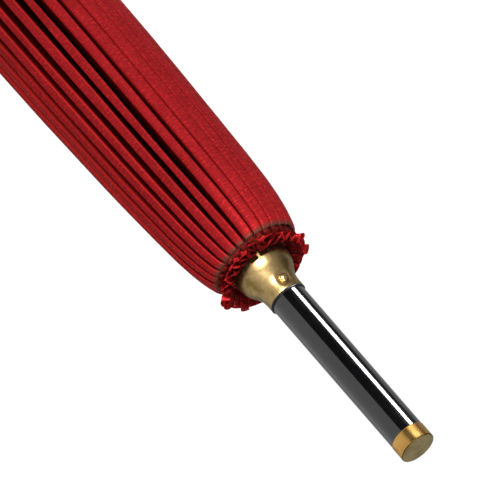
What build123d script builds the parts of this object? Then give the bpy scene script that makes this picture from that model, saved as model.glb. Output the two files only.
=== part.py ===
"""Closed straight umbrella in the East Asian style: a lacquered shaft, a slotted hub and runner,
ribs with stretchers, cloth gores folded between the ribs, a gathered rosette under a brass bell
cap, and a brass-tipped ferrule.

Frame: millimetres, +Z up along the shaft with the ferrule on top, origin on the shaft's axis at
the middle of the grip. Rib 01 stands at azimuth 0, over +X, and the ribs are numbered
counter-clockwise seen from above. The umbrella is modelled closed.
"""

import os
from math import asin, cos, degrees, radians

from build123d import *

# ---- driving dimensions ---------------------------------------------------------------------
RIB_COUNT = 14
RIB_STEP = 360 / RIB_COUNT

GLUE_GAP = 0.02  # round a part that is glued or pressed on another
PIN_GAP = 0.01  # round a pin driven into its hole
OVERCUT = 1.0  # a cutting shape reaches this far past the surface it cuts

SHAFT_R = 8.0
BORE_R = SHAFT_R + GLUE_GAP  # bore of a part glued on the shaft
SLIDE_R = SHAFT_R + 0.08  # bore of a part that slides on the shaft

GRIP_HALF = 68.0  # half the length of the grip, whose middle is the origin
GRIP_R = 11.0
END_CAP_H = 8.0
COLLAR_H = 9.0

HINGE_Z = 525.0  # height of the rib hinges in the hub
HINGE_R = 15.0  # radius of the hinge wires, the same in the hub and in the runner
ARM = 165.0  # from hub hinge to stretcher pin, and from stretcher pin to runner hinge
PIN_R = 22.0  # radius at which the stretcher pins stand when the umbrella is closed
SHOULDER_Z = 529.0  # where the cloth turns in over the rib heads
RIM_Z = 95.0  # lower ends of the ribs
NECK_Z = 553.0  # upper end of the bell cap's neck
TOP_Z = 645.0  # upper end of the ferrule

REST_ANGLE = degrees(asin((PIN_R - HINGE_R) / ARM))  # a rib leans out this much when closed
PIN_Z = HINGE_Z - ARM * cos(radians(REST_ANGLE))
FOOT_Z = HINGE_Z - 2 * ARM * cos(radians(REST_ANGLE))
OPEN_SWING = 70.0
OPEN_FOOT_Z = HINGE_Z - 2 * ARM * cos(radians(REST_ANGLE + OPEN_SWING))

WIRE_R = 0.6
WIRE_SEAT_R = 0.66
EYE_HOLE_R = 0.76
EYE_R = 2.2
SLOT_W = 3.0
HEAD_T = 2.6  # thickness of rib heads and stretchers, which run in the slots
RIB_T = 3.2
LUG_T = 1.3
FORK_T = 3.4
FORK_GAP = 1.6
PIN_HOLE_R = 1.0
RIVET_R = 0.92
KNUCKLE_R = 2.0

HUB_R = 18.2
HUB_CORE_R = 11.0  # the slots' floor, in the hub and in the runner
HUB_LOW, HUB_HIGH = HINGE_Z - 10, HINGE_Z + 5

# Outer surface of the closed cloth bundle: (distance below the shoulder, radius).
BUNDLE = [(0, 21.5), (8, 23.8), (25, 26.1), (60, 28.0), (110, 29.6), (200, 30.4), (434, 29.6)]
RIB_UNDER_CLOTH = 1.0
FOLD_UNDER_CLOTH = 0.3
FOLD_DEPTH = 4.0

FLAT = Plane.XZ  # the plane of rib 01; sketch x is the radius and sketch y the height


def edge_points(inset, first, last_z):
    """Points (radius, height) inset from the bundle's surface, from BUNDLE[first] to last_z."""
    points = [(r - inset, SHOULDER_Z - below) for below, r in BUNDLE[first:]]
    points[-1] = (points[-1][0], last_z)
    return points


def shifted(outline, origin):
    """An outline moved so that it is measured from the origin given."""
    return [(origin[0] + x, origin[1] + y) for x, y in outline]


def flat_point(vector):
    """The two coordinates of a vector in a sketch's plane."""
    return (vector.X, vector.Y)


def finish(part, name):
    """Labels a finished piece and writes its STEP file."""
    part.label = name
    export_step(part, f"parts/{name}.step")


def numbered(master, name):
    """Writes one copy of a piece for each rib, turned to that rib's place."""
    for i in range(RIB_COUNT):
        with BuildPart() as copy:
            add(master.part, rotation=(0, 0, i * RIB_STEP))
        finish(copy.part, f"{name}_{i + 1:02d}")


def wire_ring(height):
    """Hinge wire: a ring threaded through the eyes at this height."""
    with BuildPart() as ring:
        with BuildSketch(FLAT):
            with Locations((HINGE_R, height)):
                Circle(WIRE_R)
        revolve(axis=Axis.Z)
    return ring


def wire_seat(height):
    """Cuts the seat of a hinge wire out of the part being built."""
    with BuildSketch(FLAT) as seat:
        with Locations((HINGE_R, height)):
            Circle(WIRE_SEAT_R)
    revolve(seat.sketch, axis=Axis.Z, mode=Mode.SUBTRACT)


def rib_slots(low, high):
    """Cuts one slot for each rib through the rim of the part being built."""
    reach = HUB_R + OVERCUT
    with BuildSketch(Plane.XY.offset(low - OVERCUT)) as slots:
        with PolarLocations((HUB_CORE_R + reach) / 2, RIB_COUNT):
            Rectangle(reach - HUB_CORE_R, SLOT_W)
    extrude(slots.sketch, amount=high - low + 2 * OVERCUT, mode=Mode.SUBTRACT)


os.makedirs("parts", exist_ok=True)

# ---- shaft and ferrule ----------------------------------------------------------------------
CAP_H = 7.2
CAP_R = 8.35
CAP_END_T = 1.2
CAP_CHAMFER = 0.3
SPIGOT_R = 7.4
CATCH_LOW, CATCH_HIGH = 343.0, 382.0
CATCH_SLOT_W = 3.2
CATCH_SLOT_FLOOR = 2.0
CATCH_PIVOT = (5.4, 347.0)
CATCH_PIN_R = 0.9
CATCH_PIN_HALF = 5.2
CATCH_T = 2.8
CATCH_HOLE_R = CATCH_PIN_R + 0.06
CATCH_TAIL = 2.4  # the plate reaches this far below its pin
CATCH_BACK, CATCH_FACE = 2.0, 2.3  # from the pin's middle in to the back and out to the face
CATCH_TIP_BACK = 0.4
CATCH_TAPER_LOW, CATCH_TAPER_HIGH = 14.0, 20.0  # the taper of the back and of the face
CATCH_TIP_Z = CATCH_HIGH - 2.2
HUB_PIN_Z = HUB_LOW + 2.6
HUB_PIN_R = 1.1
HUB_PIN_HALF = HUB_CORE_R - 0.4

with BuildPart() as shaft_rod:
    with BuildSketch(Plane.XY.offset(-GRIP_HALF)):
        Circle(SHAFT_R)
    extrude(amount=TOP_Z - CAP_H + GRIP_HALF)
    with BuildSketch(Plane.XY.offset(TOP_Z - CAP_H)):
        Circle(SPIGOT_R)
    extrude(amount=CAP_H - CAP_END_T)
    # slot that the catch folds into
    with BuildSketch(FLAT):
        slot_mouth = SHAFT_R + OVERCUT
        with Locations(((CATCH_SLOT_FLOOR + slot_mouth) / 2, (CATCH_LOW + CATCH_HIGH) / 2)):
            Rectangle(slot_mouth - CATCH_SLOT_FLOOR, CATCH_HIGH - CATCH_LOW)
    extrude(amount=CATCH_SLOT_W / 2, both=True, mode=Mode.SUBTRACT)
    # cross holes for the catch pin and the hub pin
    with BuildSketch(FLAT):
        with Locations(CATCH_PIVOT):
            Circle(CATCH_PIN_R + PIN_GAP)
        with Locations((0, HUB_PIN_Z)):
            Circle(HUB_PIN_R + PIN_GAP)
    extrude(amount=SHAFT_R + OVERCUT, both=True, mode=Mode.SUBTRACT)
finish(shaft_rod.part, "shaft_rod")

with BuildPart() as ferrule_cap:
    with BuildSketch(Plane.XY.offset(TOP_Z - CAP_H)):
        Circle(CAP_R)
    extrude(amount=CAP_H)
    top_rim = ferrule_cap.edges().group_by(Axis.Z)[-1]
    chamfer(top_rim, CAP_CHAMFER)
    with BuildSketch(Plane.XY.offset(TOP_Z - CAP_H)):
        Circle(SPIGOT_R + GLUE_GAP)
    extrude(amount=CAP_H - CAP_END_T, mode=Mode.SUBTRACT)
finish(ferrule_cap.part, "ferrule_cap")

with BuildPart() as catch_pin:
    with BuildSketch(FLAT):
        with Locations(CATCH_PIVOT):
            Circle(CATCH_PIN_R)
    extrude(amount=CATCH_PIN_HALF, both=True)
finish(catch_pin.part, "catch_pin")

with BuildPart() as catch:
    x, z = CATCH_PIVOT
    with BuildSketch(FLAT):
        with BuildLine():
            Polyline(
                (x - CATCH_BACK, z - CATCH_TAIL),
                (x + CATCH_BACK, z - CATCH_TAIL),
                (x + CATCH_FACE, z + CATCH_TAPER_HIGH),
                (x + CATCH_FACE, CATCH_TIP_Z),
                (x - CATCH_TIP_BACK, CATCH_TIP_Z),
                (x - CATCH_BACK, z + CATCH_TAPER_LOW),
                close=True,
            )
        make_face()
        with Locations(CATCH_PIVOT):
            Circle(CATCH_HOLE_R, mode=Mode.SUBTRACT)
    extrude(amount=CATCH_T / 2, both=True)
finish(catch.part, "catch")

STOP_RING_H = 3.0
STOP_RING_R = 10.2
STOP_RING_ABOVE_FOOT = 9.0  # just over the head of the runner when the umbrella is open
STOP_RING_ROUND = 0.8

with BuildPart() as stop_ring:
    with BuildSketch(Plane.XY.offset(OPEN_FOOT_Z + STOP_RING_ABOVE_FOOT)):
        Circle(STOP_RING_R)
        Circle(BORE_R, mode=Mode.SUBTRACT)
    extrude(amount=STOP_RING_H)
    round_edges = stop_ring.edges().filter_by(GeomType.CIRCLE)
    fillet(round_edges.sort_by(SortBy.RADIUS)[-2:], STOP_RING_ROUND)
finish(stop_ring.part, "stop_ring")

# ---- grip -----------------------------------------------------------------------------------
END_CAP_R = 10.8
END_CAP_ROUND = 1.6
COLLAR_R = GRIP_R + 0.6
COLLAR_BAND_H = 3.5  # straight band at the collar's foot
COLLAR_TOP_R = SHAFT_R + 1.0
COLLAR_HOLLOW = 9.0  # radius of the hollow curve from the band to the collar's top

with BuildPart() as grip:
    with BuildSketch(Plane.XY.offset(-GRIP_HALF)):
        Circle(GRIP_R)
        Circle(BORE_R, mode=Mode.SUBTRACT)
    extrude(amount=2 * GRIP_HALF)
finish(grip.part, "grip")

with BuildPart() as grip_end_cap:
    with BuildSketch(Plane.XY.offset(-GRIP_HALF - END_CAP_H)):
        Circle(END_CAP_R)
    extrude(amount=END_CAP_H)
    bottom_rim = grip_end_cap.edges().group_by(Axis.Z)[0]
    fillet(bottom_rim, END_CAP_ROUND)
finish(grip_end_cap.part, "grip_end_cap")

with BuildPart() as grip_collar:
    with BuildSketch(FLAT):
        with BuildLine():
            band_top = (COLLAR_R, GRIP_HALF + COLLAR_BAND_H)
            collar_top = (COLLAR_TOP_R, GRIP_HALF + COLLAR_H)
            Polyline((BORE_R, GRIP_HALF), (COLLAR_R, GRIP_HALF), band_top)
            RadiusArc(band_top, collar_top, -COLLAR_HOLLOW)
            Polyline(collar_top, (BORE_R, GRIP_HALF + COLLAR_H), (BORE_R, GRIP_HALF))
        make_face()
    revolve(axis=Axis.Z)
finish(grip_collar.part, "grip_collar")

# ---- hub and its wire -----------------------------------------------------------------------
with BuildPart() as top_hub:
    with BuildSketch(Plane.XY.offset(HUB_LOW)):
        Circle(HUB_R)
    extrude(amount=HUB_HIGH - HUB_LOW)
    with BuildSketch(Plane.XY.offset(HUB_LOW)):
        Circle(BORE_R)
    extrude(amount=HUB_HIGH - HUB_LOW, mode=Mode.SUBTRACT)
    rib_slots(HUB_LOW, HUB_HIGH)
    wire_seat(HINGE_Z)
    with BuildSketch(FLAT):
        with Locations((0, HUB_PIN_Z)):
            Circle(HUB_PIN_R + PIN_GAP)
    extrude(amount=HUB_CORE_R, both=True, mode=Mode.SUBTRACT)
finish(top_hub.part, "top_hub")

hub_wire = wire_ring(HINGE_Z)
finish(hub_wire.part, "hub_wire")

with BuildPart() as hub_pin:
    with BuildSketch(FLAT):
        with Locations((0, HUB_PIN_Z)):
            Circle(HUB_PIN_R)
    extrude(amount=HUB_PIN_HALF, both=True)
finish(hub_pin.part, "hub_pin")

# ---- bell cap, its screw, the seal above it and the rosette under it ------------------------
BELL_LOW = NECK_Z - 20.5
BELL_WALL = 0.9
BELL_NECK_R = SHAFT_R + 0.75
BELL_NECK_H = 5.2
BELL_WAIST_R, BELL_WAIST_DROP = 11.0, 10.4  # drops are measured from the top of the neck
BELL_BELLY_R, BELL_BELLY_DROP = 12.9, 15.6
BELL_LIP_R = 12.4
BELL_BORE_DROP = 8.6  # the bell is open below this and bored to the shaft above it
SCREW_DROP = 4.4
SCREW_AZIMUTH = 33.0
SCREW_R = 1.9
SCREW_HEAD_H = 1.3
SCREW_HEAD_ROUND = 0.5
SCREW_SEAT_R = SHAFT_R + 0.12  # where the underside of the head stands
SEAL_R = 9.0
SEAL_H = 1.5
SEAL_ROUND = 0.4

with BuildPart() as bell_cap:
    with BuildSketch(FLAT):
        with BuildLine():
            neck_top = (BELL_NECK_R, NECK_Z)
            neck_low = (BELL_NECK_R, NECK_Z - BELL_NECK_H)
            waist = (BELL_WAIST_R, NECK_Z - BELL_WAIST_DROP)
            belly = (BELL_BELLY_R, NECK_Z - BELL_BELLY_DROP)
            lip = (BELL_LIP_R, BELL_LOW)
            Line(neck_top, neck_low)
            Spline(neck_low, waist, belly, lip, tangents=[(0, -1), (-0.12, -1)])
            inner_lip = (lip[0] - BELL_WALL, BELL_LOW)
            inner_belly = (belly[0] - BELL_WALL, belly[1] + 0.3)
            inner_waist = (waist[0] - BELL_WALL, waist[1] - 0.6)
            inner_neck = (BORE_R, NECK_Z - BELL_BORE_DROP)
            Line(lip, inner_lip)
            Spline(inner_lip, inner_belly, inner_waist, inner_neck)
            Line(inner_neck, (BORE_R, NECK_Z))
            Line((BORE_R, NECK_Z), neck_top)
        make_face()
    revolve(axis=Axis.Z)
    screw_face = Plane.XZ.rotated((0, 0, SCREW_AZIMUTH + 90))
    with BuildSketch(screw_face):
        with Locations((0, NECK_Z - SCREW_DROP)):
            Circle(SCREW_R + GLUE_GAP)
    extrude(amount=-BELL_NECK_R - 2 * OVERCUT, mode=Mode.SUBTRACT)
finish(bell_cap.part, "bell_cap")

with BuildPart() as bell_screw:
    with BuildSketch(screw_face.offset(-SCREW_SEAT_R)):
        with Locations((0, NECK_Z - SCREW_DROP)):
            Circle(SCREW_R)
    extrude(amount=-SCREW_HEAD_H)
    round_edges = bell_screw.edges().filter_by(GeomType.CIRCLE)
    head_rim = round_edges.sort_by(lambda e: e.center().length)[-1]
    fillet(head_rim, SCREW_HEAD_ROUND)
finish(bell_screw.part, "bell_screw")

with BuildPart() as sealing_ring:
    with BuildSketch(FLAT):
        with Locations(((BORE_R + SEAL_R) / 2, NECK_Z + SEAL_H / 2)):
            RectangleRounded(SEAL_R - BORE_R, SEAL_H, SEAL_ROUND)
    revolve(axis=Axis.Z)
finish(sealing_ring.part, "sealing_ring")

# The rosette: a disc of cloth tied round the shaft, whose edge stands up as a funnel.
ROSETTE_FOOT_Z = HUB_HIGH + 1.0
ROSETTE_DISC_R = 14.0
ROSETTE_TURN_R, ROSETTE_TURN_Z = 18.6, HUB_HIGH + 4.6
ROSETTE_EDGE_R, ROSETTE_EDGE_Z = 19.6, HUB_HIGH + 11.0
ROSETTE_EDGE_T = 0.8
ROSETTE_TIE_Z = BELL_LOW - 0.1
ROSETTE_TIE_R = 13.0
ROSETTE_HOLLOW_R, ROSETTE_HOLLOW_Z = 14.4, HUB_HIGH + 4.2

with BuildPart() as rosette:
    with BuildSketch(FLAT):
        with BuildLine():
            Polyline(
                (BORE_R, ROSETTE_FOOT_Z),
                (ROSETTE_DISC_R, ROSETTE_FOOT_Z),
                (ROSETTE_TURN_R, ROSETTE_TURN_Z),
                (ROSETTE_EDGE_R, ROSETTE_EDGE_Z),
                (ROSETTE_EDGE_R - ROSETTE_EDGE_T, ROSETTE_EDGE_Z),
                (ROSETTE_HOLLOW_R, ROSETTE_HOLLOW_Z),
                (ROSETTE_TIE_R, ROSETTE_TIE_Z),
                (BORE_R, ROSETTE_TIE_Z),
                close=True,
            )
        make_face()
    revolve(axis=Axis.Z)
finish(rosette.part, "rosette")

# ---- runner ---------------------------------------------------------------------------------
RUNNER_HEAD_HALF = 8.0
RUNNER_HEAD_LOW, RUNNER_HEAD_HIGH = FOOT_Z - RUNNER_HEAD_HALF, FOOT_Z + RUNNER_HEAD_HALF
SLEEVE_LOW = FOOT_Z - 42
SLEEVE_R = 11.5
SLEEVE_RING_H = 5.0
SLEEVE_RING_T = 0.8

with BuildPart() as runner:
    with BuildSketch(Plane.XY.offset(RUNNER_HEAD_LOW)):
        Circle(HUB_R)
    extrude(amount=RUNNER_HEAD_HIGH - RUNNER_HEAD_LOW)
    with BuildSketch(Plane.XY.offset(SLEEVE_LOW)):
        Circle(SLEEVE_R)
    extrude(amount=RUNNER_HEAD_LOW - SLEEVE_LOW)
    with BuildSketch(Plane.XY.offset(SLEEVE_LOW)):
        Circle(SLIDE_R)
    extrude(amount=RUNNER_HEAD_HIGH - SLEEVE_LOW, mode=Mode.SUBTRACT)
    rib_slots(RUNNER_HEAD_LOW, RUNNER_HEAD_HIGH)
    wire_seat(FOOT_Z)
finish(runner.part, "runner")

with BuildPart() as runner_ring:
    with BuildSketch(Plane.XY.offset(SLEEVE_LOW)):
        Circle(SLEEVE_R + SLEEVE_RING_T)
        Circle(SLEEVE_R + GLUE_GAP, mode=Mode.SUBTRACT)
    extrude(amount=SLEEVE_RING_H)
finish(runner_ring.part, "runner_ring")

runner_wire = wire_ring(FOOT_Z)
finish(runner_wire.part, "runner_wire")

# ---- ribs -----------------------------------------------------------------------------------
STRIP_DEPTH = 4.0
RIB_TIP_DEPTH = 3.0
# The head's outline, inner side first, measured from the hinge as (outwards, upwards), and the
# neck that joins it to the strip, measured from the strip's upper corners in the same way.
HEAD_OUTLINE = [(-1.6, -1.6), (-1.6, 1.8), (3.4, 2.8), (5.3, 0.6)]
NECK_OUTER = [(-1.8, 12.0), (0.0, 0.5), (-0.2, -6.0)]
NECK_INNER = [(0.4, -6.0), (-0.8, 4.0)]
# The lug under the strip, measured from the rivet.
LUG_OUTLINE = [(-1.6, 1.2), (4.2, 9.0), (4.2, -7.0), (-0.2, -2.0)]

with BuildPart() as rib:
    with BuildSketch(FLAT):
        with BuildLine():
            outer = edge_points(RIB_UNDER_CLOTH, 2, RIM_Z)
            inner = [(r - STRIP_DEPTH, z) for r, z in outer]
            inner[-1] = (outer[-1][0] - RIB_TIP_DEPTH, RIM_Z)
            Spline(*outer)
            Line(outer[-1], inner[-1])
            Spline(*inner[::-1])
            Line(inner[0], outer[0])
        make_face()
    extrude(amount=RIB_T / 2, both=True)
    # head, which runs from the strip into the hub's slot and carries the eye
    with BuildSketch(FLAT):
        with BuildLine():
            head = shifted(HEAD_OUTLINE, (HINGE_R, HINGE_Z))
            neck = shifted(NECK_OUTER, outer[0]) + shifted(NECK_INNER, inner[0])
            Polyline(*head, *neck, close=True)
        make_face()
        with Locations((HINGE_R, HINGE_Z)):
            Circle(EYE_R)
    extrude(amount=HEAD_T / 2, both=True)
    with BuildSketch(FLAT):
        with Locations((HINGE_R, HINGE_Z)):
            Circle(EYE_HOLE_R)
    extrude(amount=RIB_T, both=True, mode=Mode.SUBTRACT)
    # lug for the stretcher's rivet
    with BuildSketch(FLAT):
        with Locations((PIN_R, PIN_Z)):
            Circle(KNUCKLE_R)
        with BuildLine():
            Polyline(*shifted(LUG_OUTLINE, (PIN_R, PIN_Z)), close=True)
        make_face()
        with Locations((PIN_R, PIN_Z)):
            Circle(PIN_HOLE_R, mode=Mode.SUBTRACT)
    extrude(amount=LUG_T / 2, both=True)
numbered(rib, "rib")

# ---- stretchers -----------------------------------------------------------------------------
SPLIT_LEN = 14.0  # length of the slit that makes the fork
SPLIT_UNDER_CHEEK = 2.0  # the cheeks reach this far past the slit's end
BAR_HALF_TOP, BAR_HALF_FOOT = 1.7, 1.4
CHEEK_HALF_END = 1.66
FOOT_EYE_R = EYE_R - 0.2
SLIT_HALF = 3.0  # half the width of the slit's cutter, wider than the bar

with BuildPart() as stretcher:
    lean = Vector(HINGE_R - PIN_R, FOOT_Z - PIN_Z).normalized()
    side = Vector(-lean.Y, lean.X)
    top, foot = Vector(PIN_R, PIN_Z), Vector(HINGE_R, FOOT_Z)
    with BuildSketch(FLAT):
        with BuildLine():
            Polyline(
                flat_point(top + side * BAR_HALF_TOP),
                flat_point(foot + side * BAR_HALF_FOOT),
                flat_point(foot - side * BAR_HALF_FOOT),
                flat_point(top - side * BAR_HALF_TOP),
                close=True,
            )
        make_face()
        with Locations((HINGE_R, FOOT_Z)):
            Circle(FOOT_EYE_R)
    extrude(amount=HEAD_T / 2, both=True)
    # fork cheeks
    with BuildSketch(FLAT):
        split = top + lean * SPLIT_LEN
        with BuildLine():
            Polyline(
                flat_point(top + side * BAR_HALF_TOP),
                flat_point(split + side * CHEEK_HALF_END),
                flat_point(split - side * CHEEK_HALF_END),
                flat_point(top - side * BAR_HALF_TOP),
                close=True,
            )
        make_face()
        with Locations((PIN_R, PIN_Z)):
            Circle(KNUCKLE_R)
    extrude(amount=FORK_T / 2, both=True)
    # the slit, the eye and the rivet
    with BuildSketch(FLAT):
        with BuildLine():
            low = top + lean * (SPLIT_LEN - SPLIT_UNDER_CHEEK)
            high = top - lean * (KNUCKLE_R + OVERCUT)
            Polyline(
                flat_point(high + side * SLIT_HALF),
                flat_point(low + side * SLIT_HALF),
                flat_point(low - side * SLIT_HALF),
                flat_point(high - side * SLIT_HALF),
                close=True,
            )
        make_face()
    extrude(amount=FORK_GAP / 2, both=True, mode=Mode.SUBTRACT)
    with BuildSketch(FLAT):
        with Locations((HINGE_R, FOOT_Z)):
            Circle(EYE_HOLE_R)
    extrude(amount=FORK_T, both=True, mode=Mode.SUBTRACT)
    with BuildSketch(FLAT):
        with Locations((PIN_R, PIN_Z)):
            Circle(RIVET_R)
    extrude(amount=FORK_T / 2, both=True)
numbered(stretcher, "stretcher")

# ---- gores: the cloth folded between two ribs ------------------------------------------------
FOLD_MARGIN = 6.1  # degrees from a rib's middle plane to the side of a folded gore
FOLD_TOP_Z = 510.0
FOLD_TOP_INSET = 0.6
RIM_HEM = 6.0  # the cloth's hem hangs this far above the rib tips

with BuildPart() as gore:
    with BuildSketch(Plane.XZ.rotated((0, 0, FOLD_MARGIN))):
        with BuildLine():
            cloth = edge_points(FOLD_UNDER_CLOTH, 2, RIM_Z + RIM_HEM)
            cloth[0] = (cloth[0][0] - FOLD_TOP_INSET, FOLD_TOP_Z)
            back = [(r - FOLD_DEPTH, z) for r, z in cloth]
            Spline(*cloth)
            Line(cloth[-1], back[-1])
            Spline(*back[::-1])
            Line(back[0], cloth[0])
        make_face()
    revolve(axis=Axis.Z, revolution_arc=RIB_STEP - 2 * FOLD_MARGIN)
numbered(gore, "gore")

print("rest angle", round(REST_ANGLE, 4), "pin", PIN_R, round(PIN_Z, 4), "foot", round(FOOT_Z, 4))
print("open foot", round(OPEN_FOOT_Z, 3))
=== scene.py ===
# %% [markdown]
# # A closed oil paper umbrella
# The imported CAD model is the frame: it says how big everything is and what moves. This first
# cell loads it and reads the few heights that every later piece is measured from. All lengths
# in Blender are metres, so the small helper mm() keeps the numbers readable.

# %% Load the frame
import math

import bmesh
import bpy
import numpy as np
from mathutils import Matrix, Vector


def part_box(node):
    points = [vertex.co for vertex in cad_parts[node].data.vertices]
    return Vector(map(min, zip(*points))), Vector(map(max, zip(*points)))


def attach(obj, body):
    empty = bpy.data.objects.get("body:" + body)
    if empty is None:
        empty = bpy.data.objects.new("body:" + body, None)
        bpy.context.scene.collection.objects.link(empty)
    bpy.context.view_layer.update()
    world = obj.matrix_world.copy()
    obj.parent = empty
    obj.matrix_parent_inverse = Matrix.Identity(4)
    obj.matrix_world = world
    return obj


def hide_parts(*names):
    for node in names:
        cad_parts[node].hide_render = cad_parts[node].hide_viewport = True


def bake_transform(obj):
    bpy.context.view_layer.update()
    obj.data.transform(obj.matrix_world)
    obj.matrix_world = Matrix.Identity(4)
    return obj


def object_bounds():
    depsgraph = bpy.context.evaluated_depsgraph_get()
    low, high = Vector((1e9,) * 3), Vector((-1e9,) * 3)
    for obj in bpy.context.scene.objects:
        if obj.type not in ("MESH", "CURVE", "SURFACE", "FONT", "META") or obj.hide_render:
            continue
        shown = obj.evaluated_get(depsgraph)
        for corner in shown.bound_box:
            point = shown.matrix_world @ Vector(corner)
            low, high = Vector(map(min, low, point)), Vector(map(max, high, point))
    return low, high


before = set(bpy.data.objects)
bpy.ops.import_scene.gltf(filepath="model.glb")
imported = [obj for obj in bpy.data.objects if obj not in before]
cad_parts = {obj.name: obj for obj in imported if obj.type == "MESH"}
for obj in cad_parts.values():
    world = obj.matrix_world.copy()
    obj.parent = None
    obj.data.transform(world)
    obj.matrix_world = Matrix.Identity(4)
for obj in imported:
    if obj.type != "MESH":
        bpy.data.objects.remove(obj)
cad_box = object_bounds()


def mm(length):
    return length * 0.001


RIBS = 14
STEP = 2 * math.pi / RIBS  # the angle from one rib to the next
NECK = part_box("bell_cap")[1][2]  # top of the bell
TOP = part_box("ferrule_cap")[1][2]  # end of the ferrule
SHOULDER = NECK - mm(24)  # where the folded cloth turns in over the rib heads
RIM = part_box("rib_01")[0][2]  # lower end of the ribs
print("neck", round(NECK, 4), "top", round(TOP, 4), "rim", round(RIM, 4), "ribs", RIBS)

# %% [markdown]
# ## Helpers for shader nodes
# A material is a small network of nodes. These helpers make a node, set its plain values and
# wire its inputs in one line, so that each material below reads as a list of what it is made of.

# %% Node helpers


def node(tree, kind, values=None, wires=None, **options):
    made = tree.nodes.new(kind)
    for key, value in options.items():
        setattr(made, key, value)
    for key, value in (values or {}).items():
        made.inputs[key].default_value = value
    for key, source in (wires or {}).items():
        tree.links.new(source, made.inputs[key])
    return made


def feed(tree, socket, value):
    """Wires a socket, or sets its plain number or colour."""
    if isinstance(value, bpy.types.NodeSocket):
        tree.links.new(value, socket)
    elif hasattr(value, "__len__"):
        socket.default_value = (*value, 1)
    else:
        socket.default_value = value


def ramp(tree, source, stops):
    """A straight ramp through (place, grey or colour) stops."""
    made = node(tree, "ShaderNodeValToRGB", wires={"Fac": source})
    elements = made.color_ramp.elements
    while len(elements) < len(stops):
        elements.new(0.5)
    for element, (place, colour) in zip(elements, stops):
        element.position = place
        element.color = (*colour, 1) if hasattr(colour, "__len__") else (colour,) * 3 + (1,)
    return made.outputs["Color"]


def mix(tree, amount, first, second, blend_type="MIX"):
    made = node(tree, "ShaderNodeMix", data_type="RGBA", blend_type=blend_type)
    feed(tree, made.inputs[0], amount)
    feed(tree, made.inputs[6], first)
    feed(tree, made.inputs[7], second)
    return made.outputs[2]


def sums(tree, operation, first, second):
    made = node(tree, "ShaderNodeMath", operation=operation)
    feed(tree, made.inputs[0], first)
    feed(tree, made.inputs[1], second)
    return made.outputs[0]


def group(name, inputs, outputs):
    tree = bpy.data.node_groups.new(name, "ShaderNodeTree")
    for label, kind, value in inputs:
        socket = tree.interface.new_socket(label, in_out="INPUT", socket_type=kind)
        if value is not None:
            socket.default_value = value
    for label, kind in outputs:
        tree.interface.new_socket(label, in_out="OUTPUT", socket_type=kind)
    return tree, tree.nodes.new("NodeGroupInput"), tree.nodes.new("NodeGroupOutput")


def place_group(tree, made_group, values=None, wires=None):
    return node(tree, "ShaderNodeGroup", values, wires, node_tree=made_group)


def material(name, **values):
    made = bpy.data.materials.new(name)
    made.use_nodes = True
    tree = made.node_tree
    shader = tree.nodes["Principled BSDF"]
    for key, value in values.items():
        shader.inputs[key.replace("_", " ")].default_value = value
    return made, tree, shader


def roughen(tree, shader, strength, depth, height):
    """Gives a shader a fine relief."""
    bump = node(tree, "ShaderNodeBump", {"Strength": strength, "Distance": depth}, {"Height": height})
    tree.links.new(bump.outputs[0], shader.inputs["Normal"])


print("node helpers ready")

# %% [markdown]
# ## Weave
# The cloth is a thin silky weave with slubs: thicker stretches of yarn that run across each
# gore and catch the light. A brick or checker texture looks printed, so the yarns are stretched
# noise: one noise pulled long across the gore for the weft, one pulled long down it for the
# warp. The group takes coordinates in metres along the cloth, so its scale stays true.

# %% Weave group
weave_group, source, sink = group(
    "silk weave",
    [("Cloth place", "NodeSocketVector", None), ("Slub amount", "NodeSocketFloat", 1.0)],
    [("Slubs", "NodeSocketFloat"), ("Yarn height", "NodeSocketFloat"), ("Tone", "NodeSocketFloat")],
)
cloth_place = source.outputs["Cloth place"]
WEFT_HEIGHT, WARP_HEIGHT, SLUB_HEIGHT = 0.6, 0.4, 0.35


def yarn(across, along):
    """Noise with this many blots per metre across the gore and along it."""
    stretched = node(weave_group, "ShaderNodeMapping", {"Scale": (across, along, 1)}, {"Vector": cloth_place})
    noise = node(
        weave_group, "ShaderNodeTexNoise", {"Scale": 1.0, "Detail": 2.0, "Roughness": 0.6},
        {"Vector": stretched.outputs[0]},
    )
    return noise.outputs["Fac"]


weft = yarn(700, 2700)
thick_weft = yarn(300, 1900)
warp = yarn(4200, 300)
cloud = yarn(45, 30)
slubs = ramp(weave_group, thick_weft, [(0.52, 0.0), (0.63, 1.0)])
slubs = sums(weave_group, "MULTIPLY", slubs, source.outputs["Slub amount"])
weft_relief = sums(weave_group, "MULTIPLY", weft, WEFT_HEIGHT)
warp_relief = sums(weave_group, "MULTIPLY", warp, WARP_HEIGHT)
slub_relief = sums(weave_group, "MULTIPLY", slubs, SLUB_HEIGHT)
relief = sums(weave_group, "ADD", sums(weave_group, "ADD", weft_relief, warp_relief), slub_relief)
weave_group.links.new(slubs, sink.inputs["Slubs"])
weave_group.links.new(relief, sink.inputs["Yarn height"])
weave_group.links.new(cloud, sink.inputs["Tone"])
print("weave group:", len(weave_group.nodes), "nodes")

# %% [markdown]
# ## Handling marks
# Metal, lacquer and wood all show the same thing in different strengths: cloudy smears where
# hands touch them and fine scratches. One group makes both masks from the surface's position,
# and each material decides how strongly it shows them.

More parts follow.
